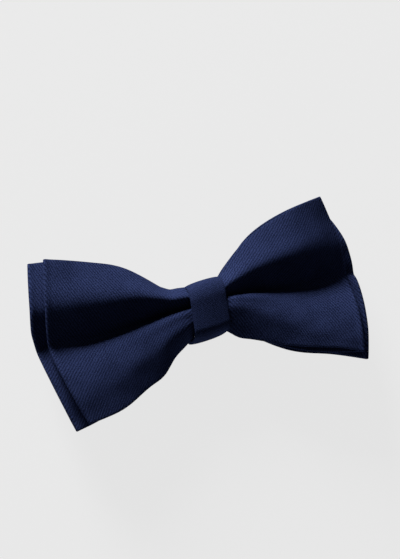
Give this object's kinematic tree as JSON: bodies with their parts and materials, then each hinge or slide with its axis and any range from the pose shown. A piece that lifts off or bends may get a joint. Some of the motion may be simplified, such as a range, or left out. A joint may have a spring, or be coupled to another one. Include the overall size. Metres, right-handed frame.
{
  "type": "bow tie",
  "caption": "Pre-tied double-layer navy twill bow tie: a folded front bow over a larger back bow, a wrapped centre knot, and a hinged spring clip behind it for a shirt collar.",
  "frame": {"origin": "on the surface the bow lies on, under the middle of the knot", "axes": "+Z is the way the bow's front faces when it lies on its back, +X runs along the bow to the wing on the right as seen from the front, and +Y to its upper edge as worn"},
  "size_m": [0.12, 0.0618, 0.0176],
  "materials": {
    "bow_twill": "navy bias-cut polyester twill with a soft satin sheen",
    "knot_twill": "the same navy twill, pulled smooth round the knot",
    "interlining": "matt undyed non-woven interlining",
    "thread": "navy spun polyester sewing thread",
    "clip_plate_steel": "nickel-plated pressed sheet, lightly brushed",
    "clip_arm_steel": "nickel-plated pressed sheet, lightly brushed",
    "spring_steel": "blued spring steel strip",
    "pin_steel": "bright headed steel pin",
    "rivet_steel": "bright round-head rivet"
  },
  "bodies": {
    "bow": {"front_bow_shell": "bow_twill", "back_bow_shell": "bow_twill", "knot_wrap": "knot_twill", "front_bow_interlining": "interlining", "back_bow_interlining": "interlining", "knot_interlining": "interlining", "waist_binding_thread": "thread", "knot_seam_stitches": "thread", "clip_stitches": "thread", "clip_base_plate": "clip_plate_steel", "clip_leaf_spring": "spring_steel", "clip_rivets": "rivet_steel", "clip_hinge_pin_right": "pin_steel", "clip_hinge_pin_left": "pin_steel"},
    "clip_arm_right": {"clip_arm_right": "clip_arm_steel"},
    "clip_arm_left": {"clip_arm_left": "clip_arm_steel"}
  },
  "joints": [
    {"name": "clip_arm_right_hinge", "type": "hinge", "parent": "bow", "child": "clip_arm_right", "pos_m": [0.01, 0, 0.0014], "axis": [0, 1, 0], "range_deg": [0, 75]},
    {"name": "clip_arm_left_hinge", "type": "hinge", "parent": "bow", "child": "clip_arm_left", "pos_m": [-0.01, 0, 0.0014], "axis": [0, -1, 0], "range_deg": [0, 75]}
  ]
}
